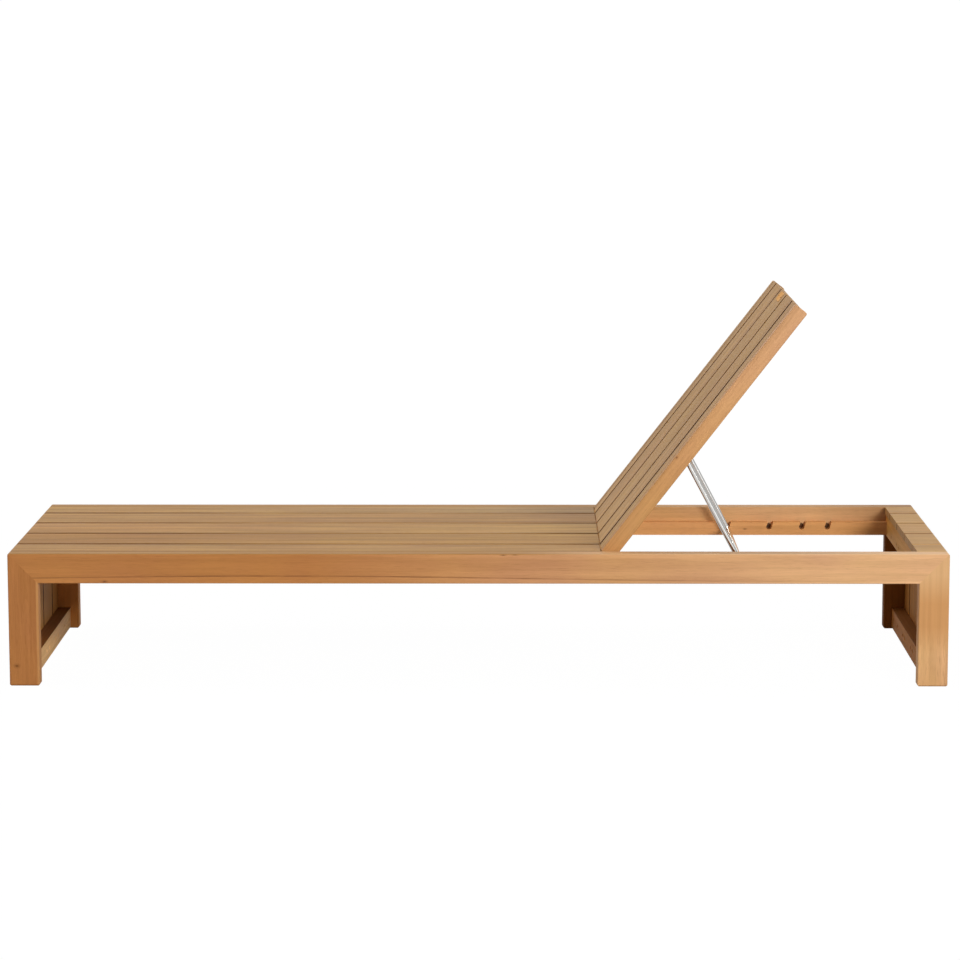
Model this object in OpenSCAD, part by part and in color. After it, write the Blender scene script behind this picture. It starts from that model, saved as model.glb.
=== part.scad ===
// Sun lounger in teak: two mitred side frames, a slatted seat that turns down at both
// ends, and a slatted backrest that hinges up and is held by a steel prop in notched racks.
// X runs from the foot end to the head end, Y across, Z up. The origin lies on the ground
// under the middle of the lounger.

/* [Frame] */
// Overall length
frame_len = 2000; // [1900:10:2200]
// Overall width
frame_w = 690; // [640:5:760]
// Height of the lying surface
seat_h = 286; // [260:2:400]
// Face width of the side rails and legs
board_w = 64; // [60:1:76]
// Thickness of the side rails and legs
board_t = 35; // [30:1:42]
// Chamfer that eases the long edges of rails, legs and slats
ease = 1.5; // [0.5:0.5:3]
// Radius that takes off the mitred corners and the stiles' top corners
corner_r = 4; // [2:0.5:6]
// Chamfer around the feet of the legs
foot_ease = 3; // [1.5:0.5:4]
// Length of the loose tongue in each mitre, square to the mitre line
tongue_len = 44; // [30:2:44]
// Width of the loose tongue along the mitre line
tongue_w = 30; // [20:2:30]
// Thickness of the loose tongue
tongue_t = 10; // [6:1:12]

/* [Slats] */
// Thickness of the seat, end and backrest slats
slat_t = 16; // [14:1:18]
// Width of each of the three inner slats
slat_w = 138; // [120:2:142]
// Gap between neighbouring slats
slat_gap = 6; // [4:0.5:9]
// Length of the seat slats, from the foot end to the hinge line
seat_len = 1261; // [1220:1:1290]
// Length of the short boards over the head end
head_board_len = 65; // [64:1:90]
// Height of the end slats' lower ends above the ground
panel_lift = 4; // [2:1:12]

/* [Cross rails] */
// Thickness along the length of the two middle rails and the hinge rail
cross_t = 35; // [30:1:45]
// Width of the ledge on the hinge rail, which closes the gap at the hinge line from below
ledge_w = 10; // [7:1:12]
// Gap between that ledge and the flat backrest
ledge_drop = 2; // [1.5:0.5:4]
// Distance from each end of the lounger to the inner face of its end rail
end_rail_in = 63; // [50:1:63]
// Thickness of the lower stretchers
stretcher_t = 29; // [24:1:34]
// Height of the lower stretchers
stretcher_h = 45; // [38:1:60]
// Length of the tenons on rails and stretchers
tenon_len = 18; // [12:1:22]
// Thickness of the tenons
tenon_t = 12; // [9:1:14]
// Shoulder above and below each tenon
tenon_shoulder = 8; // [6:1:12]

/* [Backrest] */
// Angle of the raised backrest, with the prop in the first notch
back_angle = 52.25; // [46:0.25:56]
// Angle in the second notch
second_angle = 40; // [37:1:43]
// Angle in the third notch
third_angle = 26.5; // [22:0.5:29]
// Overall thickness of the backrest, over its stiles
back_t = 32; // [31:1:35]
// Width of the stiles
stile_w = 26; // [22:1:30]
// Running gap between the stiles and the side rails
back_side_gap = 3; // [2:0.5:5]
// Gap between the flat backrest and the head boards
back_end_gap = 3; // [2:0.5:6]
// Width of the battens behind the backrest slats
batten_w = 50; // [40:1:60]
// Distance from the hinge line to the near edge of the second batten
low_batten_gap = 180; // [120:5:190]
// Distance from the last batten to the top end of the backrest
head_batten_gap = 20; // [10:1:60]
// Length of the stub tenons on the battens
batten_tenon = 10; // [6:1:14]

/* [Hinges] */
// Gap between the seat and the flat backrest at the hinge line
hinge_gap = 6; // [5:0.5:8]
// Depth of the hinge axis below the lying surface
hinge_drop = 4; // [4:0.5:4.5]
// Length of each hinge
hinge_len = 50; // [40:2:60]
// Outer diameter of the hinge knuckles
knuckle_d = 7; // [6:0.5:8]
// Diameter of the hinge pins
hinge_pin_d = 3.5; // [3:0.5:4]
// Thickness of the hinge leaves
leaf_t = 2; // [1.5:0.5:2]
// Height of the hinge leaves below the axis
leaf_h = 27; // [25:0.5:28]
// Distance of the leaf screws below the axis
leaf_screw_drop = 20; // [19:0.5:21]
// Distance between the two screws of a leaf
leaf_screw_span = 30; // [24:1:34]
// Diameter of the leaf screws
leaf_screw_d = 3.5; // [3:0.5:4]
// Length of the leaf screws
leaf_screw_len = 25; // [16:1:28]
// Distance from the hinge's outer end to the stile
hinge_inset = 6; // [4:1:12]

/* [Prop] */
// Diameter of the bent steel rod
rod_d = 11; // [9:0.5:11]
// Length of the prop legs, from the pivot to the bar
prop_len = 270; // [267:1:278]
// Distance from the hinge axis to the prop's pivot, along the backrest
pivot_at = 267; // [260:1:270]
// Depth of the prop's pivot below the lying surface of the backrest
pivot_depth = 22.5; // [22:0.5:24]
// Radius of the bend at the top of each leg, to the rod's centre line
bend_r = 14; // [12:1:18]
// Length of the rod ends inside the stiles
pin_in = 15; // [10:1:16]

/* [Racks] */
// Thickness of the notched racks
rack_t = 22; // [18:1:26]
// Height of the racks' lower edge above the side rails' lower edge
rack_lift = 2; // [0:0.5:4]
// Depth of the notches, from the top of the rack to the middle of the seated bar
notch_depth = 10.5; // [9:0.5:12]
// Lean of the notches towards the head end
notch_lean = 18; // [0:1:25]
// Extra width of the notches' round seats over the bar
notch_play = 1.5; // [1.2:0.1:2]
// Extra width of the notches' mouths over the bar
mouth_play = 0.8; // [0.5:0.1:1]

/* [Slat screws] */
// Diameter of the screws that hold the slats
slat_screw_d = 4; // [3.5:0.5:5]
// Length of the screws in the seat and the ends
slat_screw_len = 38; // [30:2:40]
// Length of the screws in the backrest
batten_screw_len = 25; // [20:1:28]
// Distance between the two screws that hold a wide slat down
slat_screw_span = 70; // [50:5:80]
// Distance between the two screws that hold a wide end slat
panel_screw_span = 104; // [102:2:110]
// Wood left over the tips of the screws in the seat and the ends
tip_cover = 4; // [3:1:6]
// Diameter of the pockets that sink those screws into the rails
screw_pocket_d = 10; // [9:0.5:12]

/* [Hidden] */
$fn = 48;

TEAK = "#c99a62";
TEAK_END = "#b98a55";
BRASS = "#b8923f";
STEEL = "#c9ccd0";

// Clearances: glued joints, pins that turn, screws in their holes, and free pieces
glue_gap = 0.15;
pin_clear = 0.05;
screw_clear = 0.05;
free_gap = 0.3;
rack_gap = 0.5;
bar_end_gap = 0.4;
bore_end_gap = 1;
leg_side_gap = 1;
batten_leg_gap = 2;
cut = 1;

// The frame's outline
end_x = frame_len / 2;
side_y = frame_w / 2;
rail_in_y = side_y - board_t;
rail_z = seat_h - board_w;
under_slats = seat_h - slat_t;

// The slats across the width: number 1 is nearest to -Y, and the outer two are narrower
slat_pitch = slat_w + slat_gap;
edge_slat_y = 1.5 * slat_pitch + slat_gap / 2;
function slat_lo(i) = i == 1 ? -rail_in_y : -2.5 * slat_pitch + (i - 1) * slat_pitch + slat_gap / 2;
function slat_hi(i) = i == 5 ? rail_in_y : slat_lo(i + 1) - slat_gap;

// The hinge line and the backrest, in its own frame: u along it, w square to it
seat_end_x = seat_len - end_x;
hinge_x = seat_end_x + hinge_gap / 2;
hinge_z = seat_h - hinge_drop;
head_board_x = end_x - head_board_len;
back_u0 = hinge_gap / 2;
back_u1 = head_board_x - back_end_gap - hinge_x;
back_y = rail_in_y - back_side_gap;
stile_in_y = back_y - stile_w;
back_w1 = hinge_drop;
back_w0 = hinge_drop - back_t;
slat_w0 = hinge_drop - slat_t;
batten_t = back_t - slat_t;
hinge_y = stile_in_y - hinge_inset - hinge_len / 2;
knuckles = 5;
knuckle_len = hinge_len / knuckles;

// The racks and the prop. The bar's place in each notch follows from the backrest's angle.
rack_in_y = rail_in_y - rack_t;
rack_top = seat_h - back_t - rack_gap;
rack_z = rail_z + rack_lift;
bar_z = rack_top - notch_depth;
pivot_w = hinge_drop - pivot_depth;
leg_y = stile_in_y - leg_side_gap - bend_r;
bar_half = rack_in_y - bar_end_gap;
function pivot_x(a) = hinge_x + pivot_at * cos(a) - pivot_w * sin(a);
function pivot_z(a) = hinge_z + pivot_at * sin(a) + pivot_w * cos(a);
function bar_x(a) = pivot_x(a) + sqrt(pow(prop_len, 2) - pow(pivot_z(a) - bar_z, 2));
notch_angles = [back_angle, second_angle, third_angle, 0];
prop_tilt = atan2(bar_x(back_angle) - pivot_x(back_angle), pivot_z(back_angle) - bar_z);

// A board with its long edges eased, from y0 to y1 and z0 to z1, along X from x0 to x1
module board_x(x0, x1, y0, y1, z0, z1) {
    translate([x0, 0, 0]) rotate([90, 0, 90])
        linear_extrude(x1 - x0) eased(y0, y1, z0, z1);
}

// A board with its long edges eased, along Z
module board_z(x0, x1, y0, y1, z0, z1) {
    translate([0, 0, z0]) linear_extrude(z1 - z0) eased(x0, x1, y0, y1);
}

// A rectangle from a0 to a1 and b0 to b1 with its corners cut by the ease
module eased(a0, a1, b0, b1) {
    polygon([[a0 + ease, b0], [a1 - ease, b0], [a1, b0 + ease], [a1, b1 - ease],
        [a1 - ease, b1], [a0 + ease, b1], [a0, b1 - ease], [a0, b0 + ease]]);
}

// Everything on the near side is drawn at -Y, and the far side mirrors it
module on_side(side) {
    if (side > 0) mirror([0, 1, 0]) children();
    else children();
}

// Everything at the head end is drawn as at the foot end, mirrored
module at_end(side) {
    if (side > 0) mirror([1, 0, 0]) children();
    else children();
}

// The waste outside a rounded corner at the origin that points to -X and +Z, all across
module corner_waste(r) {
    rotate([90, 0, 0]) translate([0, 0, -side_y - cut]) linear_extrude(frame_w + 2 * cut)
        difference() {
            translate([-cut, -r]) square([r + cut, r + cut]);
            translate([r, -r]) circle(r = r, $fn = 24);
        }
}

// The same at the mitred corner of the foot end
module end_corner() {
    translate([-end_x, 0, seat_h]) corner_waste(corner_r);
}

// A wedge that keeps only what lies above and inside the 45 degree mitre of an end
module mitre_keep(depth, top) {
    rotate([90, 0, 0]) translate([0, 0, -side_y - cut]) linear_extrude(frame_w + 2 * cut)
        polygon([[-end_x, seat_h], [-end_x + depth, seat_h - depth],
            top ? [-end_x + depth, seat_h + depth] : [-end_x - depth, seat_h - depth]]);
}

// The loose tongue across a mitre at the near side of the foot end
module tongue(clear) {
    translate([-end_x + board_w / 2, -side_y + board_t / 2, seat_h - board_w / 2])
        rotate([0, 45, 0])
            cube([tongue_w + 2 * clear, tongue_t + 2 * clear, tongue_len + 2 * clear],
                center = true);
}

// Tenon of a cross rail or stretcher from x0 to x1 and z0 to z1, in the near side's boards
module tenon(x0, x1, z0, z1, length, clear) {
    middle = (x0 + x1) / 2;
    translate([middle - tenon_t / 2 - clear, -rail_in_y - length - clear,
        z0 + tenon_shoulder - clear])
        cube([tenon_t + 2 * clear, length + clear + (clear > 0 ? cut : 0),
            z1 - z0 - 2 * tenon_shoulder + 2 * clear]);
}

// Cross rails, as the X of their two faces: foot end, two between, hinge line, head end
mid_span = (seat_end_x - cross_t + end_x - end_rail_in - 2 * cross_t) / 3;
function mid_rail_x(i) = -end_x + end_rail_in + i * mid_span + (i - 1) * cross_t;
end_rail = 0;
hinge_rail = 3;
cross_rails = [[-end_x + slat_t, -end_x + end_rail_in],
    [mid_rail_x(1), mid_rail_x(1) + cross_t], [mid_rail_x(2), mid_rail_x(2) + cross_t],
    [seat_end_x - cross_t, seat_end_x], [end_x - end_rail_in, end_x - slat_t]];

// The end rails' tenons are short, because they stop in front of the tongues
tongue_cover = 3;
stub_len = (board_t - tongue_t) / 2 - tongue_cover;
rail_depth = under_slats - rail_z;
function tenon_of(i) = i == end_rail || i == len(cross_rails) - 1 ? stub_len : tenon_len;

module rail_tenon(i, clear) {
    tenon(cross_rails[i][0], cross_rails[i][1], rail_z, under_slats, tenon_of(i), clear);
}

module side_rail(side) {
    color(TEAK) on_side(side) difference() {
        intersection() {
            board_x(-end_x, end_x, -side_y, -rail_in_y, rail_z, seat_h);
            rotate([90, 0, 0]) translate([0, 0, rail_in_y - cut])
                linear_extrude(board_t + 2 * cut)
                    polygon([[-end_x, seat_h], [end_x, seat_h],
                        [end_x - board_w, rail_z], [-end_x + board_w, rail_z]]);
        }
        for (end = [-1, 1]) at_end(end) {
            tongue(glue_gap);
            end_corner();
        }
        for (i = [0 : len(cross_rails) - 1]) rail_tenon(i, glue_gap);
    }
}

module leg(end, side) {
    color(TEAK) at_end(end) on_side(side) difference() {
        intersection() {
            board_z(-end_x, -end_x + board_w, -side_y, -rail_in_y, 0, seat_h);
            rotate([90, 0, 0]) translate([0, 0, rail_in_y - cut])
                linear_extrude(board_t + 2 * cut)
                    polygon([[-end_x, foot_ease], [-end_x, seat_h],
                        [-end_x + board_w, rail_z], [-end_x + board_w, foot_ease],
                        [-end_x + board_w - foot_ease, 0], [-end_x + foot_ease, 0]]);
            rotate([90, 0, 90]) translate([0, 0, -end_x - cut])
                linear_extrude(board_w + 2 * cut)
                    polygon([[-side_y + foot_ease, 0], [-side_y, foot_ease],
                        [-side_y, seat_h], [-rail_in_y, seat_h], [-rail_in_y, foot_ease],
                        [-rail_in_y - foot_ease, 0]]);
        }
        end_corner();
        tongue(glue_gap);
        rail_tenon(end_rail, glue_gap);
        tenon(-end_x + slat_t, -end_x + slat_t + stretcher_t, panel_lift,
            panel_lift + stretcher_h, tenon_len, glue_gap);
    }
}

module mitre_tongues() {
    color(TEAK_END) for (end = [-1, 1], side = [-1, 1])
        at_end(end) on_side(side) tongue(0);
}

// Room for the hinge knuckles in the ends of the slats, on both sides
module knuckle_pockets() {
    for (side = [-1, 1]) translate([0, side * hinge_y - hinge_len / 2 - free_gap, 0])
        rotate([-90, 0, 0]) cylinder(d = knuckle_d + 2 * free_gap,
            h = hinge_len + 2 * free_gap);
}

module seat_slat(i) {
    color(TEAK) difference() {
        board_x(-end_x, seat_end_x, slat_lo(i), slat_hi(i), under_slats, seat_h);
        mitre_keep(slat_t + cut, false);
        end_corner();
        translate([hinge_x, 0, hinge_z]) knuckle_pockets();
        for (rail = [end_rail : hinge_rail]) down_screws(rail, i) slat_screw(screw_clear);
    }
}

module panel_slat(end, i) {
    color(TEAK) at_end(end) difference() {
        board_z(-end_x, -end_x + slat_t, slat_lo(i), slat_hi(i), panel_lift, seat_h);
        mitre_keep(slat_t + cut, true);
        end_corner();
        end_screws(i) slat_screw(screw_clear);
    }
}

module head_board(i) {
    color(TEAK) at_end(1) difference() {
        board_x(-end_x, -head_board_x, slat_lo(i), slat_hi(i), under_slats, seat_h);
        mitre_keep(slat_t + cut, false);
        end_corner();
        down_screws(end_rail, i) slat_screw(screw_clear);
    }
}

module stretcher(end) {
    x0 = -end_x + slat_t;
    color(TEAK_END) at_end(end) difference() {
        union() {
            translate([x0, -rail_in_y, panel_lift])
                cube([stretcher_t, 2 * rail_in_y, stretcher_h]);
            for (side = [-1, 1]) on_side(side)
                tenon(x0, x0 + stretcher_t, panel_lift, panel_lift + stretcher_h,
                    tenon_len, 0);
        }
        for (i = [1 : 5]) end_screws(i) sunk_screw();
    }
}

// The screws that hold slat number i stand in pairs, and the narrow outer slats have one,
// midway between the screws of the hinge
function screw_ys(i, span, outer_y) = i == 1 ? [-outer_y] : i == 5 ? [outer_y]
    : [(slat_lo(i) + slat_hi(i) - span) / 2, (slat_lo(i) + slat_hi(i) + span) / 2];

module countersunk(d, length, clear) {
    cylinder(d = d + 2 * clear, h = length + clear);
    cylinder(d1 = 2 * d + 2 * clear, d2 = d + 2 * clear, h = d / 2);
}

module slat_screw(clear) {
    countersunk(slat_screw_d, slat_screw_len, clear);
}

// The room that a screw needs in a rail: its own, and the pocket behind its head
module sunk_screw() {
    slat_screw(screw_clear);
    translate([0, 0, cut / 100 - rail_depth]) cylinder(d = screw_pocket_d, h = rail_depth);
}

// Screws from below, through cross rail number rail into the slat over it
module down_screws(rail, i) {
    for (y = screw_ys(i, slat_screw_span, hinge_y))
        translate([(cross_rails[rail][0] + cross_rails[rail][1]) / 2, y,
            seat_h - tip_cover - slat_screw_len]) children();
}

// Screws from inside, through the foot end's rail and stretcher into its end slat
module end_screws(i) {
    for (y = screw_ys(i, panel_screw_span, hinge_y + hinge_len / 2),
        z = [panel_lift + stretcher_h / 2, rail_z + screw_pocket_d])
        translate([-end_x + tip_cover + slat_screw_len, y, z]) rotate([0, -90, 0]) children();
}

module slat_screws() {
    color(STEEL) for (i = [1 : 5]) {
        for (rail = [0 : len(cross_rails) - 1]) down_screws(rail, i) slat_screw(0);
        for (end = [-1, 1]) at_end(end) end_screws(i) slat_screw(0);
    }
}

// Leaf screws lie along X in the seat's end and in the backrest's end, heads in the gap
module leaf_screw_places() {
    for (side = [-1, 1], s = [-1, 1])
        translate([-hinge_gap / 2 + leaf_t, side * hinge_y + s * leaf_screw_span / 2,
            -leaf_screw_drop]) rotate([0, -90, 0]) children();
}

module leaf_screw(clear) {
    countersunk(leaf_screw_d, leaf_screw_len, clear);
}

// The ledge stands between the racks, under the swing of the backrest's lower end
module hinge_ledge() {
    half = rack_in_y - rack_gap;
    translate([seat_end_x - cut, -half, rail_z])
        cube([ledge_w + cut, 2 * half, seat_h - back_t - ledge_drop - rail_z]);
}

module cross_rail(i) {
    color(TEAK_END) difference() {
        union() {
            translate([cross_rails[i][0], -rail_in_y, rail_z])
                cube([cross_rails[i][1] - cross_rails[i][0], 2 * rail_in_y,
                    under_slats - rail_z]);
            if (i == hinge_rail) hinge_ledge();
            for (side = [-1, 1]) on_side(side) rail_tenon(i, 0);
        }
        if (i == hinge_rail) translate([hinge_x, 0, hinge_z]) leaf_screw_places()
            leaf_screw(screw_clear);
        for (k = [1 : 5]) {
            down_screws(i, k) sunk_screw();
            if (i == end_rail) end_screws(k) sunk_screw();
            if (i == len(cross_rails) - 1) at_end(1) end_screws(k) sunk_screw();
        }
    }
}

// A notch leans from the bar's round seat up to the mouth in the top of the rack
module notch(a) {
    mouth = rod_d + mouth_play;
    translate([bar_x(a), -rail_in_y - cut, bar_z]) {
        rotate([-90, 0, 0]) cylinder(d = rod_d + notch_play, h = rack_t + 2 * cut);
        rotate([0, notch_lean, 0]) translate([-mouth / 2, 0, 0])
            cube([mouth, rack_t + 2 * cut, 2 * notch_depth]);
    }
}

module rack(side) {
    color(TEAK_END) on_side(side) difference() {
        translate([seat_end_x, -rail_in_y, rack_z])
            cube([end_x - end_rail_in - seat_end_x, rack_t, rack_top - rack_z]);
        for (a = notch_angles) notch(a);
    }
}

// The backrest, from its own frame to its raised place
module raised() {
    translate([hinge_x, 0, hinge_z]) rotate([0, -back_angle, 0]) children();
}

// Battens behind the backrest slats, as the u of their two edges. The third lies midway
// between its neighbours, and is cut short, because the prop's legs lie beside it when the
// backrest is flat.
head_batten_u = back_u1 - head_batten_gap - batten_w;
mid_batten_u = (low_batten_gap + head_batten_u) / 2;
battens = [[back_u0, back_u0 + batten_w], [low_batten_gap, low_batten_gap + batten_w],
    [mid_batten_u, mid_batten_u + batten_w], [head_batten_u, head_batten_u + batten_w]];
function batten_y(i) = i == 2 ? leg_y - rod_d / 2 - batten_leg_gap : stile_in_y;

module batten_tenon(i, clear) {
    inset = batten_w / 5;
    translate([battens[i][0] + inset - clear, -stile_in_y - batten_tenon - clear,
        back_w0 + batten_t / 4 - clear])
        cube([batten_w - 2 * inset + 2 * clear, batten_tenon + clear + (clear > 0 ? cut : 0),
            batten_t / 2 + 2 * clear]);
}

module back_stile(side) {
    color(TEAK) raised() on_side(side) difference() {
        board_x(back_u0, back_u1, -back_y, -stile_in_y, back_w0, back_w1);
        translate([pivot_at, -stile_in_y + cut, pivot_w]) rotate([90, 0, 0])
            cylinder(d = rod_d + 2 * pin_clear, h = pin_in + bore_end_gap + cut);
        for (i = [0, 1, 3]) batten_tenon(i, glue_gap);
        knuckle_pockets();
        translate([back_u1, 0, back_w1]) mirror([1, 0, 0]) corner_waste(corner_r);
        translate([back_u1, 0, back_w0]) mirror([1, 0, 0]) mirror([0, 0, 1])
            corner_waste(corner_r);
    }
}

module back_slat(i) {
    lo = i == 1 ? -stile_in_y : slat_lo(i);
    hi = i == 5 ? stile_in_y : slat_hi(i);
    color(TEAK) raised() difference() {
        board_x(back_u0, back_u1, lo, hi, slat_w0, back_w1);
        knuckle_pockets();
        for (b = [0 : len(battens) - 1]) batten_screw_places(b, i) batten_screw(screw_clear);
    }
}

// Screws from behind, through batten number b into backrest slat number i
module batten_screw_places(b, i) {
    for (y = screw_ys(i, slat_screw_span, hinge_y))
        translate([battens[b][0] + batten_w / 2, y, back_w0]) children();
}

module batten_screw(clear) {
    countersunk(slat_screw_d, batten_screw_len, clear);
}

module batten_screws() {
    color(STEEL) raised() for (b = [0 : len(battens) - 1], i = [1 : 5])
        batten_screw_places(b, i) batten_screw(0);
}

module back_batten(i) {
    color(TEAK_END) raised() difference() {
        union() {
            translate([battens[i][0], -batten_y(i), back_w0])
                cube([batten_w, 2 * batten_y(i), batten_t]);
            if (i != 2) for (side = [-1, 1]) on_side(side) batten_tenon(i, 0);
        }
        if (i == 0) mirror([1, 0, 0]) leaf_screw_places() leaf_screw(screw_clear);
        for (k = [1 : 5]) batten_screw_places(i, k) batten_screw(screw_clear);
    }
}

// One hinge leaf with its share of the knuckles: the seat's has 1, 3 and 5, from -Y
module leaf(side, first) {
    y0 = side * hinge_y - hinge_len / 2;
    difference() {
        union() {
            translate([-hinge_gap / 2, y0, -leaf_h]) cube([leaf_t, hinge_len, leaf_h]);
            for (k = [first : 2 : knuckles - 1])
                translate([0, y0 + k * knuckle_len + (k > 0 ? free_gap / 2 : 0), 0])
                    rotate([-90, 0, 0]) cylinder(d = knuckle_d,
                        h = knuckle_len - (k > 0 ? free_gap / 2 : 0)
                            - (k < knuckles - 1 ? free_gap / 2 : 0));
        }
        for (k = [1 - first : 2 : knuckles - 1])
            translate([0, y0 + k * knuckle_len - free_gap / 2, 0]) rotate([-90, 0, 0])
                cylinder(d = knuckle_d + 2 * free_gap, h = knuckle_len + free_gap);
        translate([0, y0 - cut, 0]) rotate([-90, 0, 0])
            cylinder(d = hinge_pin_d + 2 * pin_clear, h = hinge_len + 2 * cut);
        leaf_screw_places() leaf_screw(screw_clear);
    }
}

module hinge_leaves_seat() {
    color(BRASS) translate([hinge_x, 0, hinge_z])
        for (side = [-1, 1]) leaf(side, 0);
}

module hinge_leaves_back() {
    color(BRASS) raised() mirror([1, 0, 0]) for (side = [-1, 1]) leaf(side, 1);
}

module hinge_pins() {
    color(STEEL) for (side = [-1, 1])
        translate([hinge_x, side * hinge_y - hinge_len / 2, hinge_z])
            rotate([-90, 0, 0]) cylinder(d = hinge_pin_d, h = hinge_len);
}

module hinge_screws_seat() {
    color(BRASS) translate([hinge_x, 0, hinge_z]) leaf_screw_places() leaf_screw(0);
}

module hinge_screws_back() {
    color(BRASS) raised() mirror([1, 0, 0]) leaf_screw_places() leaf_screw(0);
}

// The prop: two legs with their top ends bent outwards as pivots, welded to a cross bar
module prop() {
    color(STEEL) translate([pivot_x(back_angle), 0, pivot_z(back_angle)])
        rotate([0, -prop_tilt, 0]) union() {
            for (side = [-1, 1]) on_side(side) {
                translate([0, -leg_y, -prop_len]) cylinder(d = rod_d, h = prop_len - bend_r);
                translate([0, -leg_y - bend_r, -bend_r]) rotate([90, 0, 90])
                    rotate_extrude(angle = 90) translate([bend_r, 0]) circle(d = rod_d);
                translate([0, -stile_in_y - pin_in, 0]) rotate([-90, 0, 0])
                    cylinder(d = rod_d, h = stile_in_y + pin_in - leg_y - bend_r);
            }
            translate([0, -bar_half, -prop_len]) rotate([-90, 0, 0])
                cylinder(d = rod_d, h = 2 * bar_half);
        }
}

side_rail(-1);  // side_rail_near
side_rail(1);  // side_rail_far
leg(-1, -1);  // leg_foot_near
leg(-1, 1);  // leg_foot_far
leg(1, -1);  // leg_head_near
leg(1, 1);  // leg_head_far
mitre_tongues();
seat_slat(1);  // seat_slat_1
seat_slat(2);  // seat_slat_2
seat_slat(3);  // seat_slat_3
seat_slat(4);  // seat_slat_4
seat_slat(5);  // seat_slat_5
panel_slat(-1, 1);  // foot_panel_slat_1
panel_slat(-1, 2);  // foot_panel_slat_2
panel_slat(-1, 3);  // foot_panel_slat_3
panel_slat(-1, 4);  // foot_panel_slat_4
panel_slat(-1, 5);  // foot_panel_slat_5
panel_slat(1, 1);  // head_panel_slat_1
panel_slat(1, 2);  // head_panel_slat_2
panel_slat(1, 3);  // head_panel_slat_3
panel_slat(1, 4);  // head_panel_slat_4
panel_slat(1, 5);  // head_panel_slat_5
head_board(1);  // head_board_1
head_board(2);  // head_board_2
head_board(3);  // head_board_3
head_board(4);  // head_board_4
head_board(5);  // head_board_5
stretcher(-1);  // foot_stretcher
stretcher(1);  // head_stretcher
cross_rail(0);  // foot_cross_rail
cross_rail(1);  // mid_cross_rail_1
cross_rail(2);  // mid_cross_rail_2
cross_rail(3);  // hinge_rail
cross_rail(4);  // head_cross_rail
rack(-1);  // rack_near
rack(1);  // rack_far
back_stile(-1);  // back_stile_near
back_stile(1);  // back_stile_far
back_slat(1);  // back_slat_1
back_slat(2);  // back_slat_2
back_slat(3);  // back_slat_3
back_slat(4);  // back_slat_4
back_slat(5);  // back_slat_5
back_batten(0);  // back_batten_foot
back_batten(1);  // back_batten_low
back_batten(2);  // back_batten_mid
back_batten(3);  // back_batten_head
hinge_leaves_seat();
hinge_leaves_back();
hinge_pins();
hinge_screws_seat();
hinge_screws_back();
slat_screws();
batten_screws();
prop();
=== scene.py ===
import math

import bpy
from mathutils import Euler, Matrix, Vector


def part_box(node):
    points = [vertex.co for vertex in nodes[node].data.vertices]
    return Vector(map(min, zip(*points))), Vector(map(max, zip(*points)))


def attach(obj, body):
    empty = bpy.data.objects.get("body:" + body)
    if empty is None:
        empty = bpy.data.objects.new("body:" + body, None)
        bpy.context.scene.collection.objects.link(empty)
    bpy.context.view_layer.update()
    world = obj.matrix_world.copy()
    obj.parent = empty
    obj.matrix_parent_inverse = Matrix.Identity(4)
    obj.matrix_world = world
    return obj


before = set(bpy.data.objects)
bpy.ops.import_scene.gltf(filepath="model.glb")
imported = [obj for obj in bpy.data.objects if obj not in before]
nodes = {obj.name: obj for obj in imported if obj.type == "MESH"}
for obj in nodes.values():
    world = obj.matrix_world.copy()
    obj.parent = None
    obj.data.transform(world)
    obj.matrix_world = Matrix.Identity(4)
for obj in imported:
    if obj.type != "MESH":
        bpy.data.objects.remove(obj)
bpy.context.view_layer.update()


# Camera
# A long lens seven metres in front of the near side, a little above the seat and turned
# down on it, as a catalogue picture of garden furniture is taken.
camera_place = Vector((0.069, -7.322, 1.465))
camera_down = math.radians(8.320)
camera_turn = math.radians(0.530)
camera_roll = math.radians(-0.055)
bpy.ops.object.select_all(action="DESELECT")
bpy.ops.object.camera_add()
camera = bpy.context.object
camera.name = "camera"
camera.data.sensor_width = 36
camera.data.lens = 125.1
camera.data.clip_end = 60
aim = Euler((math.pi / 2 - camera_down, 0, camera_turn)).to_matrix().to_4x4()
camera.matrix_world = (
    Matrix.Translation(camera_place) @ aim @ Matrix.Rotation(camera_roll, 4, "Z")
)
bpy.context.scene.camera = camera
bpy.context.scene.view_settings.view_transform = "Standard"


# Floor and light
# A pale studio floor that keeps the lounger's soft shadow, and a white surround, which the
# polished metal sees behind the lounger and in a broad strip on each side of the camera,
# with grey elsewhere. Three lamps: high in front to the right, over the seat, at the foot.
def add_node(tree, kind, **settings):
    """Adds a node; settings name its properties, or its inputs with the values they take."""
    made = tree.nodes.new(kind)
    for key, value in settings.items():
        if hasattr(made, key):
            setattr(made, key, value)
        else:
            made.inputs[key.replace("_", " ")].default_value = value
    return made


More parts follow.
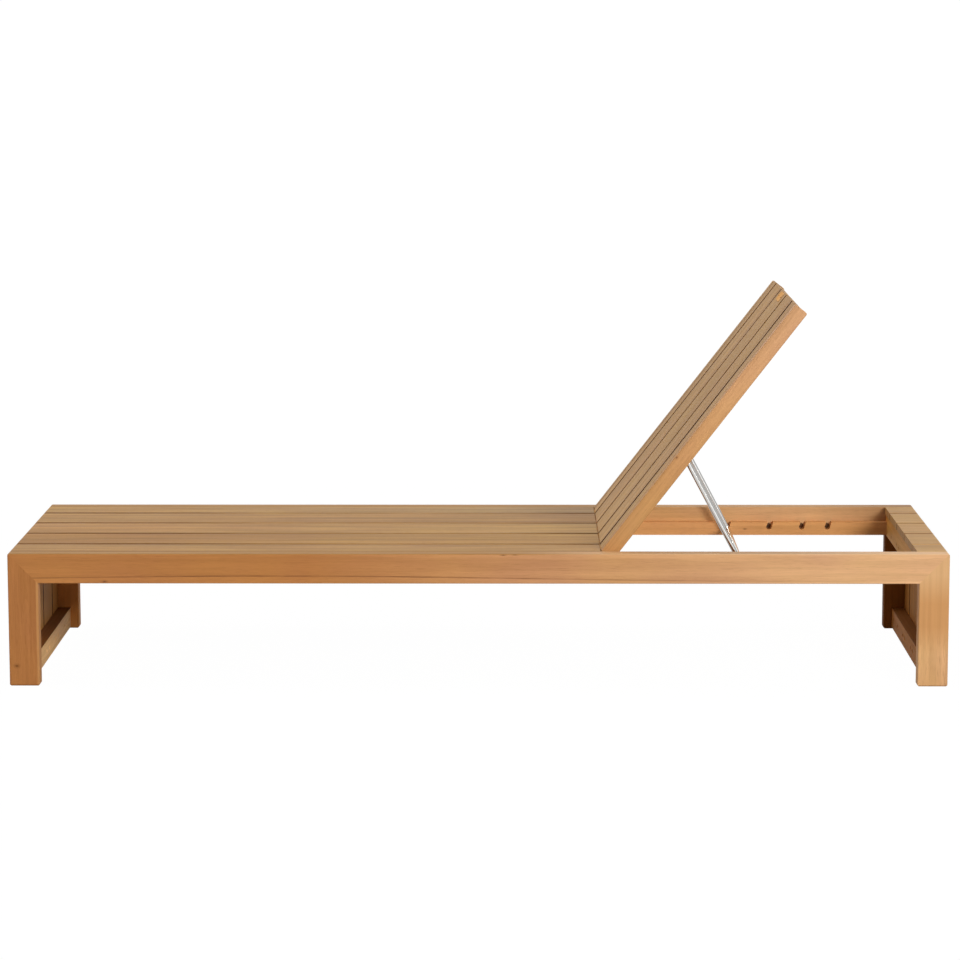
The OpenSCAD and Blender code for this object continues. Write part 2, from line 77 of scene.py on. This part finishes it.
def pale_surround(tree, lit, output, seen_share, gloss_share):
    """Shows white to the camera and to gloss, each by its share, over what the lamps light."""
    path = add_node(tree, "ShaderNodeLightPath")
    white = add_node(tree, "ShaderNodeEmission", Color=(1, 1, 1, 1), Strength=1.02)
    parts = []
    for ray, share in (("Is Camera Ray", seen_share), ("Is Transmission Ray", seen_share),
                       ("Is Glossy Ray", gloss_share)):
        part = add_node(tree, "ShaderNodeMath", operation="MULTIPLY")
        tree.links.new(path.outputs[ray], part.inputs[0])
        if isinstance(share, float):
            part.inputs[1].default_value = share
        else:
            tree.links.new(share, part.inputs[1])
        parts.append(part.outputs[0])
    whiteness = parts[0]
    for part in parts[1:]:
        larger = add_node(tree, "ShaderNodeMath", operation="MAXIMUM")
        tree.links.new(whiteness, larger.inputs[0])
        tree.links.new(part, larger.inputs[1])
        whiteness = larger.outputs[0]
    both = add_node(tree, "ShaderNodeMixShader")
    tree.links.new(whiteness, both.inputs["Fac"])
    tree.links.new(lit, both.inputs[1])
    tree.links.new(white.outputs[0], both.inputs[2])
    tree.links.new(both.outputs[0], output)


floor_size, floor_level = 60, -0.0005
bpy.ops.object.select_all(action="DESELECT")
bpy.ops.mesh.primitive_plane_add(size=floor_size, location=(0, 0, floor_level))
floor = bpy.context.object
floor.name = "floor"
bpy.ops.object.transform_apply(location=True, rotation=True, scale=True)
floor_paint = bpy.data.materials.new("pale_floor")
floor_paint.use_nodes = True
tree = floor_paint.node_tree
tree.nodes.clear()
matt = add_node(tree, "ShaderNodeBsdfDiffuse", Color=(0.66, 0.65, 0.64, 1))
output = add_node(tree, "ShaderNodeOutputMaterial")
spread = add_node(tree, "ShaderNodeTexCoord")
reach = add_node(tree, "ShaderNodeVectorMath", operation="LENGTH")
tree.links.new(spread.outputs["Object"], reach.inputs[0])
# How white the floor is near the lounger and far out, to the camera and then to gloss
shares = []
for near_share, far_share, start, end in ((0.97, 1.0, 1.6, 5.0), (0.30, 0.60, 0.9, 3.0)):
    fade = add_node(tree, "ShaderNodeMapRange", interpolation_type="SMOOTHSTEP",
                    From_Min=start, From_Max=end, To_Min=near_share, To_Max=far_share)
    tree.links.new(reach.outputs["Value"], fade.inputs["Value"])
    shares.append(fade.outputs[0])
pale_surround(tree, matt.outputs[0], output.inputs["Surface"], *shares)
floor.data.materials.append(floor_paint)

surround = bpy.data.worlds.new("white_surround")
bpy.context.scene.world = surround
surround.use_nodes = True
tree = surround.node_tree
tree.nodes.clear()
soft = add_node(tree, "ShaderNodeBackground", Color=(0.97, 0.98, 1.0, 1), Strength=0.27)
output = add_node(tree, "ShaderNodeOutputWorld")
towards = add_node(tree, "ShaderNodeTexCoord")
direction = add_node(tree, "ShaderNodeSeparateXYZ")
turned = add_node(tree, "ShaderNodeMath", operation="ARCTAN2")
swing = add_node(tree, "ShaderNodeMath", operation="ABSOLUTE")
half_turn = add_node(tree, "ShaderNodeMath", operation="DIVIDE")
half_turn.inputs[1].default_value = math.pi
# 0 is straight behind the lounger and 1 behind the camera, on either side
strips = add_node(tree, "ShaderNodeValToRGB")
steps = strips.color_ramp.elements
white, grey = (1, 1, 1, 1), (0.3, 0.3, 0.3, 1)
steps[0].position, steps[0].color = 0.2, white
steps[1].position, steps[1].color = 1.0, grey
for at, tone in ((0.27, grey), (0.67, grey), (0.70, white), (0.90, white), (0.93, grey)):
    steps.new(at).color = tone
tree.links.new(towards.outputs["Generated"], direction.inputs[0])
tree.links.new(direction.outputs["X"], turned.inputs[0])
tree.links.new(direction.outputs["Y"], turned.inputs[1])
tree.links.new(turned.outputs[0], swing.inputs[0])
tree.links.new(swing.outputs[0], half_turn.inputs[0])
tree.links.new(half_turn.outputs[0], strips.inputs["Fac"])
pale_surround(tree, soft.outputs[0], output.inputs["Surface"], 1.0, strips.outputs["Color"])


def soft_lamp(name, place, target, size, power, colour):
    """A square lamp at a place, turned to a target, with its power in watts."""
    bpy.ops.object.select_all(action="DESELECT")
    bpy.ops.object.light_add(type="AREA", location=place)
    lamp = bpy.context.object
    lamp.name = name
    lamp.data.size = size
    lamp.data.energy = power
    lamp.data.color = colour
    lamp.rotation_euler = (Vector(target) - Vector(place)).to_track_quat("-Z", "Y").to_euler()


soft_lamp("lamp_over", (0.1, 0.5, 3.6), (0, 0, 0.2), 1.8, 38, (1.0, 0.98, 0.96))
soft_lamp("lamp_front", (4.3, -7.4, 3.4), (0.1, 0, 0.3), 2.8, 470, (1.0, 0.98, 0.95))
soft_lamp("lamp_foot", (-3.4, -0.6, 2.2), (-0.3, 0, 0.4), 2.0, 27, (1.0, 0.98, 0.96))


# Side frames
# Planed and sanded teak boards, unoiled: two long rails mitred to four legs in boards of
# the same width. The near rail runs from an orange foot end to a paler head end, partly the
# board's own colour and partly painted light that grows towards the head end.
def shade(code):
    """The scene's own colour for a colour written as six hex digits."""
    parts = [int(code[i:i + 2], 16) / 255 for i in (0, 2, 4)]
    linear = [c / 12.92 if c <= 0.04045 else ((c + 0.055) / 1.055) ** 2.4 for c in parts]
    return (*linear, 1)


ALONG_X = (0, 0, 0)
ALONG_Y = (0, 0, -math.pi / 2)
ALONG_Z = (0, math.pi / 2, 0)


def teak(name, grain, colour, log, drift=None, depth=1.0, sides=None, knots=(), vein=None,
         notch_shade=(), trims=(), gloss=0.38):
    """Sawn teak.

    grain: the turn that lays the board's length on X
    log: the place in the trunk that the board was cut from
    drift: another colour, and where along the board it starts and is reached
    depth: the strength of the grain
    sides: the Y of two long edges dark with dirt and painted gap shade, how far in it reaches,
    and its colour
    knots: a place, a length and a width each
    vein: the height of a dark line, its swing, its width, and where it starts and ends to fade
    rust: places behind the notches given painted shade, and the radius of each
    trims: an axis, two places on it between which the colour changes, the other colour, and
        how much of it there is at the foot end and at the head end
    gloss: low for boards that face the dark under the seat
    """
    made = bpy.data.materials.new(name)
    made.use_nodes = True
    tree = made.node_tree
    link = tree.links.new
    wood = tree.nodes["Principled BSDF"]
    wood.inputs["IOR"].default_value = 1.45
    wood.inputs["Specular IOR Level"].default_value = gloss
    place = add_node(tree, "ShaderNodeTexCoord")
    turn = add_node(tree, "ShaderNodeMapping", Rotation=grain, Location=log)
    link(place.outputs["Object"], turn.inputs["Vector"])
    spot = add_node(tree, "ShaderNodeSeparateXYZ")
    link(place.outputs["Object"], spot.inputs[0])

    def grain_noise(scale, detail, roughness=0.55):
        """Noise along the board, with the scale of its flecks on each axis."""
        stretch = add_node(tree, "ShaderNodeMapping", Scale=scale)
        link(turn.outputs[0], stretch.inputs["Vector"])
        noise = add_node(tree, "ShaderNodeTexNoise",
                         Scale=1.0, Detail=detail, Roughness=roughness)
        link(stretch.outputs[0], noise.inputs["Vector"])
        return noise.outputs["Fac"]

    def lift(socket, low, high, to_low, to_high):
        """Brings what lies between low and high to between to_low and to_high."""
        ramp = add_node(tree, "ShaderNodeMapRange",
                        From_Min=low, From_Max=high, To_Min=to_low, To_Max=to_high)
        link(socket, ramp.inputs["Value"])
        return ramp.outputs[0]

    def reckon(operation, a, b=0.0):
        """Works out one sum from numbers or from what other nodes give."""
        both = add_node(tree, "ShaderNodeMath", operation=operation)
        for value, socket in ((a, both.inputs[0]), (b, both.inputs[1])):
            if isinstance(value, (int, float)):
                socket.default_value = value
            else:
                link(value, socket)
        return both.outputs[0]

    def stain(under, over, amount, mode="MIX"):
        """Lays one colour over another by an amount."""
        mix = add_node(tree, "ShaderNodeMix", data_type="RGBA", blend_type=mode)
        for value, socket in ((under, "A"), (over, "B")):
            if isinstance(value, tuple):
                mix.inputs[socket].default_value = value
            else:
                link(value, mix.inputs[socket])
        if isinstance(amount, float):
            mix.inputs["Factor"].default_value = amount
        else:
            link(amount, mix.inputs["Factor"])
        return mix.outputs["Result"]

    def distance(middle, turned, squeeze):
        """How far each point is from a middle, once the space is turned and then squeezed."""
        away = add_node(tree, "ShaderNodeVectorMath", operation="SUBTRACT")
        link(place.outputs["Object"], away.inputs[0])
        away.inputs[1].default_value = middle
        lay = add_node(tree, "ShaderNodeMapping", Rotation=turned)
        link(away.outputs[0], lay.inputs["Vector"])
        shrink = add_node(tree, "ShaderNodeMapping", Scale=squeeze)
        link(lay.outputs[0], shrink.inputs["Vector"])
        size = add_node(tree, "ShaderNodeVectorMath", operation="LENGTH")
        link(shrink.outputs[0], size.inputs[0])
        return size.outputs["Value"]

    growth = add_node(tree, "ShaderNodeMapping", Scale=(0.10, 1, 1), Location=(0, 0.17, 0.09))
    link(turn.outputs[0], growth.inputs["Vector"])
    ring = add_node(tree, "ShaderNodeTexWave", wave_type="RINGS", rings_direction="X",
                    wave_profile="SAW", Scale=9.0, Distortion=5.0, Detail=3.0,
                    Detail_Scale=1.6, Detail_Roughness=0.55)
    link(growth.outputs[0], ring.inputs["Vector"])
    streak = grain_noise((4, 190, 190), 5, 0.6)
    broad = grain_noise((2.2, 34, 34), 3)
    cloud = grain_noise((5, 11, 11), 2)
    pore = grain_noise((45, 1500, 1500), 2)

    if drift:
        other, start, end = drift
        along = add_node(tree, "ShaderNodeSeparateXYZ")
        link(turn.outputs[0], along.inputs[0])
        drifted = lift(along.outputs["X"], start + log[0], end + log[0], 0, 1)
        colour = stain(colour, other, drifted)

    # Most of a noise lies between these two values
    faint, strong = 0.3, 0.7
    tone = reckon("ADD", lift(ring.outputs["Fac"], 0, 1, -0.18, 0.18),
                  lift(streak, faint, strong, -0.32, 0.32))
    tone = reckon("ADD", tone, lift(broad, faint, strong, 0.0, 1.0))
    light, dark = 1 + 0.10 * depth, 1 - 0.12 * depth
    early_wood = (light, light, light, 1)
    late_wood = (dark, dark * 0.97, dark * 0.92, 1)
    colour = stain(colour, stain(early_wood, late_wood, tone), 1.0, "MULTIPLY")
    yellow_patch, red_patch = (1.05, 1.06, 0.99, 1), (0.97, 0.93, 0.99, 1)
    patches = stain(yellow_patch, red_patch, lift(cloud, faint, strong, 0, 1))
    colour = stain(colour, patches, 1.0, "MULTIPLY")
    pore_shadow = (0.60, 0.50, 0.42, 1)
    colour = stain(colour, pore_shadow, lift(pore, 0.54, 0.74, 0, 0.6 * depth), "MULTIPLY")

    if vein:
        height, swing, width, start, end = vein
        wave_start, wave_length = -0.98, 2.2
        angle = reckon("MULTIPLY", reckon("SUBTRACT", spot.outputs["X"], wave_start),
                       2 * math.pi / wave_length)
        wave = reckon("MULTIPLY", reckon("SINE", angle), swing)
        off = reckon("SUBTRACT", spot.outputs["Z"], reckon("ADD", wave, height))
        line = lift(reckon("ABSOLUTE", off), 0.2 * width, width, 1, 0)
        line = reckon("MULTIPLY", line, lift(spot.outputs["X"], start, end, 0.65, 0.1))
        breaks = lift(grain_noise((9, 0.4, 0.4), 2), 0.35, 0.6, 0.45, 1)
        line = reckon("MULTIPLY", line, breaks)
        paler, below = (1.10, 1.12, 1.14, 1), lift(off, -0.001, -0.003, 0, 0.8)
        colour = stain(colour, paler, below, "MULTIPLY")
        colour = stain(colour, shade("6d3f1d"), line)
    for middle, length, width in knots:
        far = distance(middle, grain, (1 / length, 1 / width, 1 / width))
        colour = stain(colour, shade("8f5a2f"), lift(far, 0.4, 1.7, 0.6, 0))
        colour = stain(colour, shade("4a2a16"), lift(far, 0.1, 0.7, 0.6, 0))
    # Painted shade in the notches, where the prop's bar sits
    for middle, radius in notch_shade:
        far = distance(middle, ALONG_X, (1, 0.3, 1))
        colour = stain(colour, shade("45260a"), lift(far, 0.7 * radius, radius, 0.88, 0))
    # Trims: bands of another colour, most of them painted light and painted shade
    for axis, start, end, other, at_foot, at_head in trims:
        darker, streaks = (0.88, 0.85, 0.82, 1), lift(streak, 0.4, 0.75, 0, 1)
        streaked = stain(shade(other), darker, streaks, "MULTIPLY")
        amount = reckon("MULTIPLY", lift(spot.outputs[axis], start, end, 0, 1),
                        lift(spot.outputs["X"], 0.1, 0.5, at_foot, at_head))
        colour = stain(colour, streaked, amount)
    # Long edges darkened by dirt and by painted shade for the gaps, faintest near X = -0.22, with
    # less gloss where they are dark
    if sides:
        low, high, reach, dusk = sides
        across = reckon("ABSOLUTE", reckon("SUBTRACT", spot.outputs["Y"], (low + high) / 2))
        edge, soft = (high - low) / 2 - reach, 0.0004
        faintest_x, faint_span = -0.22, (0.28, 0.46)
        from_faintest = reckon("ABSOLUTE", reckon("SUBTRACT", spot.outputs["X"], faintest_x))
        dirt_and_shade = reckon("MULTIPLY", lift(grain_noise((3, 9, 9), 2), 0.35, 0.6, 0.6, 1),
                        lift(from_faintest, *faint_span, 0.36, 1.3))
        rim = reckon("MULTIPLY", lift(across, edge - soft, edge + soft, 0, 1), dirt_and_shade)
        colour = stain(colour, shade(dusk), rim)
        link(lift(rim, 0, 1, gloss, 0.02), wood.inputs["Specular IOR Level"])

    link(colour, wood.inputs["Base Color"])
    link(lift(streak, faint, strong, 0.50, 0.62), wood.inputs["Roughness"])
    relief = add_node(tree, "ShaderNodeBump", Strength=0.25, Distance=0.0004)
    link(reckon("ADD", streak, lift(pore, 0.5, 0.75, 0, -0.6)), relief.inputs["Height"])
    link(relief.outputs[0], wood.inputs["Normal"])
    return made


def dress(node, material):
    """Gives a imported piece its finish."""
    for slot in nodes[node].material_slots:
        slot.material = material


# On Y: the near frame's outer face, and the rails' inner faces and the racks' middles, each
# as far out on either side
near_face, rail_inside, rack_middle = -0.345, 0.310, 0.299
# The prop's bar in its four notches: its height, its X, and the radius of the painted shade
# around it
bar_height = 0.243
bar_places = (0.5681, 0.6656, 0.7411, 0.8002)
rail_notch_shade, rack_notch_shade = 0.0072, 0.0074


def bar_notch_shade(y, radius):
    """The painted shade behind the prop's bar in the four notches."""
    return [((x, y, bar_height), radius) for x in bar_places]


# Between which two places the colour changes on a few boards' edges and sides, for trims,
# most of which carry painted light and painted shade
near_top_edge, far_top_edge, head_corner = (0.2842, 0.2850), (0.2845, 0.2852), (0.76, 0.95)
foot_leg_inside, above_foot, below_mitre = (-0.9415, -0.9395), (0.07, 0.13), (0.18, 0.24)
towards_well, towards_foot, shaded_teak = (0.3112, 0.3104), (0.9374, 0.9366), "84501e"
# The near rail's drift to a paler head end is partly painted light; its top edge is painted
# darker at the foot end as painted shade, and paler towards the head as a painted highlight.
dress("side_rail_near", teak(
    "teak_near_rail", ALONG_X, shade("bd7f44"), (3.1, 0.2, 0.4), (shade("e2b284"), -0.36, 0.80),
    depth=0.75, vein=(0.233, 0.0053, 0.0020, -0.1, 0.75), notch_shade=bar_notch_shade(-rail_inside, rail_notch_shade),
    trims=[("Z", *near_top_edge, "ad7f42", 1, 0), ("Z", *near_top_edge, "f0c89a", 0, 0.7)],
    knots=[((0.0535, near_face, 0.2835), 0.006, 0.0015),
           ((0.0785, near_face, 0.2845), 0.007, 0.0015),
           ((-0.794, near_face, 0.2262), 0.006, 0.0025)]))
# The far rail's drift to a paler colour is partly painted light; its top edge carries painted
# shade towards the foot end, and its last stretch by the head corner a painted shadow.
dress("side_rail_far", teak(
    "teak_far_rail", ALONG_X, shade("b07838"), (6.7, 1.3, 0.9), (shade("e4b682"), -0.1, 0.62),
    notch_shade=bar_notch_shade(rail_inside, rail_notch_shade),
    trims=[("Z", *far_top_edge, "ad7f42", 1, 0.3), ("X", *head_corner, "7a4c20", 0, 0.6)]))
# The near foot leg's inner side is painted paler, as painted light from the right
dress("leg_foot_near", teak(
    "teak_foot_leg_near", ALONG_Z, shade("b87c47"), (2.3, 4.1, 0.2), depth=0.9, gloss=0.12,
    trims=[("X", *foot_leg_inside, "cb925a", 1, 1)],
    knots=[((-0.984, near_face, 0.0433), 0.004, 0.006)]))
dress("leg_head_near", teak(
    "teak_head_leg_near", ALONG_Z, shade("ddae79"), (8.3, 2.7, 1.6), depth=1.3,
    trims=[("Z", *above_foot, "d29a60", 1, 1), ("Z", *below_mitre, "e1b27d", 1, 1)]))
# The far foot leg is painted paler than its wood, as painted light where the seat leaves it dim
dress("leg_foot_far", teak(
    "teak_foot_leg_far", ALONG_Z, shade("dd9a52"), (1.9, 7.7, 2.2), gloss=0.25))
# Painted shade on the far head leg's sides towards the well and the foot
dress("leg_head_far", teak(
    "teak_head_leg_far", ALONG_Z, shade("b9793a"), (5.5, 6.2, 2.9), gloss=0.1,
    trims=[("Y", *towards_well, shaded_teak, 1, 1), ("X", *towards_foot, shaded_teak, 1, 1)]))


# Seat
# Five long slats lie on four cross rails and are cut at 45 degrees where they turn down. Their
# long edges carry dirt and painted shade for the gaps, least in the middle.
def slat_edges(node, reach=0.0020, dusk="5a3412"):
    """The Y of a slat's two long edges, how far their dirt and painted gap shade reach in, and
    its colour.
    """
    low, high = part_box(node)
    return low[1], high[1], reach, dusk


seat_colours = {1: ("ae8243", "af8446"), 2: ("a3732f", "b3873f"), 3: ("b58545", "b48b4a"),
                4: ("af8344", "a87d42"), 5: ("b58a4a", "ae8b57")}
for number, (colour, other) in seat_colours.items():
    node = "seat_slat_%d" % number
    dress(node, teak("teak_" + node, ALONG_X, shade(colour),
                     (number * 3.7, number * 1.1, number * 0.6), (shade(other), -0.7, 0.1),
                     depth=1.7, sides=slat_edges(node)))


# Ends
# The slats turn down at both ends as a closed panel, and short boards bridge the head end.
# The foot panel's inner side is painted paler, as painted light reaching in under the seat,
# most of all near the front. The two front boards over the head end have no dark edges;
# the others carry dirt and painted gap shade.
panel_inside = (-0.9850, -0.9843)
# Painted light on the foot panel's inner side, palest on the front slat
inner_painted_light = {1: "ffd682", 2: "f6bc66", 3: "d49a4d", 4: "cc934c", 5: "c88f49"}
for number, inner_colour in inner_painted_light.items():
    painted_light_inside = [("X", *panel_inside, inner_colour, 1, 0)]
    for end, trims in (("foot", painted_light_inside), ("head", ())):
        node = "%s_panel_slat_%d" % (end, number)
        dress(node, teak("teak_" + node, ALONG_Z, shade("c88f49"),
                         (number * 2.9 + 4, number * 1.7, 3.3), sides=slat_edges(node),
                         trims=trims, gloss=0.1))
    node = "head_board_%d" % number
    dress(node, teak("teak_" + node, ALONG_X, shade("c69c61"),
                     (number * 4.3, number * 1.9, 5.1),
                     sides=slat_edges(node, 0.0014, "8e6640") if number > 2 else None))


# Inner rails
# Cross rails under the slats, low stretchers behind the end panels with painted shade on
# their tops, the notched racks that take the prop's bar, and the loose tongues inside the
# mitres. The notches carry painted shade where the bar sits.
# The foot stretcher, the hinge rail and the head cross rail are painted paler, as painted light
# where the lamps leave them dim
cross_pieces = (
    ("foot_stretcher", "f8cb8f"), ("head_stretcher", "c5863f"), ("foot_cross_rail", "b47638"),
    ("mid_cross_rail_1", "b47638"), ("mid_cross_rail_2", "b47638"), ("hinge_rail", "e0b070"),
    ("head_cross_rail", "e1aa5b"), ("mitre_tongues", "b47638"))
for number, (node, colour) in enumerate(cross_pieces):
    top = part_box(node)[1][2]
    top_edge = (top - 0.0012, top - 0.0004)
    # Painted shade on the stretchers' tops
    shaded_top = [("Z", *top_edge, "8a5a2b", 1, 1)]
    dress(node, teak("teak_" + node, ALONG_Y, shade(colour), (number * 3.3, number * 1.3, 7.7),
                     trims=shaded_top if "stretcher" in node else (), gloss=0.15))
# The racks darken towards the head end as a painted shadow of the head boards
rack_head_end = (0.82, 0.93)
racks = (("rack_near", -rack_middle, ()),
         ("rack_far", rack_middle, [((0.610, 0.288, 0.238), 0.004, 0.0018)]))
for number, (node, middle, knots) in enumerate(racks):
    dress(node, teak("teak_" + node, ALONG_X, shade("e0a366"), (number * 5.3 + 1, 2.2, 9.1),
                     notch_shade=bar_notch_shade(middle, rack_notch_shade), knots=knots,
                     trims=[("X", *rack_head_end, "8d5c2c", 0, 0.45)]))


# Backrest
# Two stiles with five slats between them on four battens, hinged to the seat. The slats have
# silvered a little more than the stiles, and the gaps between them are darker than the seat's,
# with dirt and painted shade.
lean = math.radians(52.25)
UP_THE_BACK = (0, lean, 0)
stiles = (("near", "ce9a61", "d7a679", [((0.422, -0.307, 0.4875), 0.003, 0.0022)]),
          ("far", "b98d54", "c49a66", ()))
for number, (side, colour, other, knots) in enumerate(stiles):
    dress("back_stile_" + side, teak(
        "teak_stile_" + side, UP_THE_BACK, shade(colour), (number * 4.7 + 2, 1.4, 6.3),
        (shade(other), 0.6, 1.1), knots=knots))
# Dirt and painted gap shade on the back slats' edges: how far it reaches in, and its colour
back_dirt_and_shade = {1: (0.0066, "401c00"), 2: (0.0050, "4a2600"), 3: (0.0034, "6e4416"),
             4: (0.0034, "6e4416"), 5: (0.0050, "5c3000")}
# The first slat has neither dirt nor painted shade beside the near stile: its dark edge there
# starts outside the wood
unshaded_shift = 0.01
for number, (reach, dusk) in back_dirt_and_shade.items():
    node = "back_slat_%d" % number
    low, high, reach, dusk = slat_edges(node, reach, dusk)
    if number == 1:
        low -= unshaded_shift
    dress(node, teak("teak_" + node, UP_THE_BACK, shade("c89c5e"),
                     (number * 2.3 + 11, number * 1.9, 1.7), (shade("bc9156"), 0.42, 0.8),
                     depth=1.35, sides=(low, high, reach, dusk)))
for number, name in enumerate(("foot", "low", "mid", "head")):
    node = "back_batten_" + name
    dress(node, teak("teak_" + node, ALONG_Y, shade("b47a3c"),
                     (number * 3.9, number * 2.3, 12.1)))


# Hinges
# A pair of butt hinges in satin brass, with five knuckles each, on steel pins. Countersunk
# brass screws hold one leaf to the seat's last cross rail and the other to the backrest.
def metal(name, colour, glance, roughness, scratch):
    """Metal with fine scratches that change its gloss. glance is its colour seen edge on."""
    made = bpy.data.materials.new(name)
    made.use_nodes = True
    tree = made.node_tree
    skin = tree.nodes["Principled BSDF"]
    skin.inputs["Metallic"].default_value = 1.0
    skin.inputs["Specular Tint"].default_value = glance
    place = add_node(tree, "ShaderNodeTexCoord")
    rub = add_node(tree, "ShaderNodeTexNoise", Scale=scratch, Detail=4.0, Roughness=0.6)
    smooth, scratched = roughness * 0.8, roughness * 1.25
    gloss = add_node(tree, "ShaderNodeMapRange", From_Min=0.3, From_Max=0.7,
                     To_Min=smooth, To_Max=scratched)
    duller = tuple(c * 0.82 for c in colour[:3]) + (1,)
    tint = add_node(tree, "ShaderNodeMix", data_type="RGBA")
    tint.inputs["A"].default_value = colour
    tint.inputs["B"].default_value = duller
    tree.links.new(place.outputs["Object"], rub.inputs["Vector"])
    tree.links.new(rub.outputs["Fac"], gloss.inputs["Value"])
    tree.links.new(rub.outputs["Fac"], tint.inputs["Factor"])
    tree.links.new(tint.outputs["Result"], skin.inputs["Base Color"])
    tree.links.new(gloss.outputs[0], skin.inputs["Roughness"])
    return made


brass = metal("satin_brass", shade("dbae7a"), shade("fad6a6"), 0.34, 180)
for node in ("hinge_leaves_seat", "hinge_leaves_back", "hinge_screws_seat", "hinge_screws_back"):
    dress(node, brass)
steel = metal("polished_steel", shade("eeedea"), shade("fbfaf6"), 0.12, 260)
dress("hinge_pins", steel)


# Screws
# Countersunk stainless screws, driven from below and from inside into the seat and the end
# boards, and from behind into the slats of the backrest, so that no head shows on top.
for node in ("slat_screws", "batten_screws"):
    dress(node, steel)


# Prop
# One polished stainless rod: two legs, each bent outwards at its top end into the stiles,
# and a cross bar that drops into the notches.
dress("prop", steel)


# Plate
# A small bare brass plate with rounded corners and a low rim, laid flat at the top of the
# middle slat of the backrest and held by two domed brass pins.
def pick_faces(piece, wanted):
    """Opens the piece in edit mode with only the wanted faces selected."""
    bpy.ops.object.mode_set(mode="EDIT")
    bpy.ops.mesh.select_mode(type="FACE")
    bpy.ops.mesh.select_all(action="DESELECT")
    bpy.ops.object.mode_set(mode="OBJECT")
    for face in piece.data.polygons:
        face.select = wanted(face)
    bpy.ops.object.mode_set(mode="EDIT")


def pick_edges(piece, wanted):
    """Opens the piece in edit mode with only the wanted edges selected."""
    bpy.ops.object.mode_set(mode="EDIT")
    bpy.ops.mesh.select_mode(type="EDGE")
    bpy.ops.mesh.select_all(action="DESELECT")
    bpy.ops.object.mode_set(mode="OBJECT")
    points = piece.data.vertices
    for edge in piece.data.edges:
        edge.select = wanted(*(points[i].co for i in edge.vertices))
    bpy.ops.object.mode_set(mode="EDIT")


# The hinge line, the ways up and out of the backrest, and the plate's place along them
hinge_line = Vector((0.264, 0, 0.282))
up_back = Vector((math.cos(lean), 0, math.sin(lean)))
out_back = Vector((-math.sin(lean), 0, math.cos(lean)))
slat_face, plate_up, plate_sunk = 0.004, 0.6545, 0.0001
plate_tall, plate_wide, plate_thick = 0.022, 0.064, 0.0012
corner_radius, edge_round, rim_wide, rim_high = 0.004, 0.0003, 0.0016, 0.0003
plate_middle = (hinge_line + up_back * plate_up
                + out_back * (slat_face + plate_thick / 2 - plate_sunk))
bpy.ops.object.select_all(action="DESELECT")
bpy.ops.mesh.primitive_cube_add(size=1, location=plate_middle, rotation=(0, -lean, 0),
                                scale=(plate_tall, plate_wide, plate_thick))
plate = bpy.context.object
plate.name = "bare_plate"
bpy.ops.object.transform_apply(location=True, rotation=True, scale=True)
pick_edges(plate, lambda a, b: abs((a - b).normalized().dot(out_back)) > 0.9)
bpy.ops.mesh.bevel(offset=corner_radius, segments=6)
pick_faces(plate, lambda face: face.normal.dot(out_back) > 0.9)
bpy.ops.mesh.bevel(offset=edge_round, segments=3)
half_face = plate_tall * plate_wide / 2
pick_faces(plate, lambda face: face.normal.dot(out_back) > 0.99 and face.area > half_face)
bpy.ops.mesh.inset(thickness=rim_wide, depth=-rim_high)
bpy.ops.object.mode_set(mode="OBJECT")
bpy.ops.object.shade_smooth_by_angle(angle=math.radians(35))
plate.data.materials.append(brass)
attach(plate, "backrest")

pin_radius, pin_tall, pin_out, pins_apart = 0.0019, 0.0010, 0.0007, 0.054
dome_step, dome_rises = 0.0006, (0.0003, 0.0002)
bpy.ops.object.select_all(action="DESELECT")
bpy.ops.mesh.primitive_cylinder_add(
    vertices=24, radius=pin_radius, depth=pin_tall, rotation=(0, -lean, 0),
    location=plate_middle + out_back * pin_out - Vector((0, pins_apart / 2, 0)))
near_pin = bpy.context.object
bpy.ops.object.transform_apply(location=True, rotation=True, scale=True)
pick_faces(near_pin, lambda face: face.normal.dot(out_back) > 0.9)
for rise in dome_rises:
    bpy.ops.mesh.inset(thickness=dome_step, depth=rise)
bpy.ops.object.mode_set(mode="OBJECT")
bpy.ops.object.shade_smooth_by_angle(angle=math.radians(50))
near_pin.data.materials.append(brass)
bpy.ops.object.duplicate()
far_pin = bpy.context.object
bpy.ops.object.mode_set(mode="EDIT")
bpy.ops.mesh.select_all(action="SELECT")
bpy.ops.transform.translate(value=(0, pins_apart, 0))
bpy.ops.object.mode_set(mode="OBJECT")
for number, pin in enumerate((near_pin, far_pin), 1):
    pin.name = "plate_pin_%d" % number
    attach(pin, "backrest")
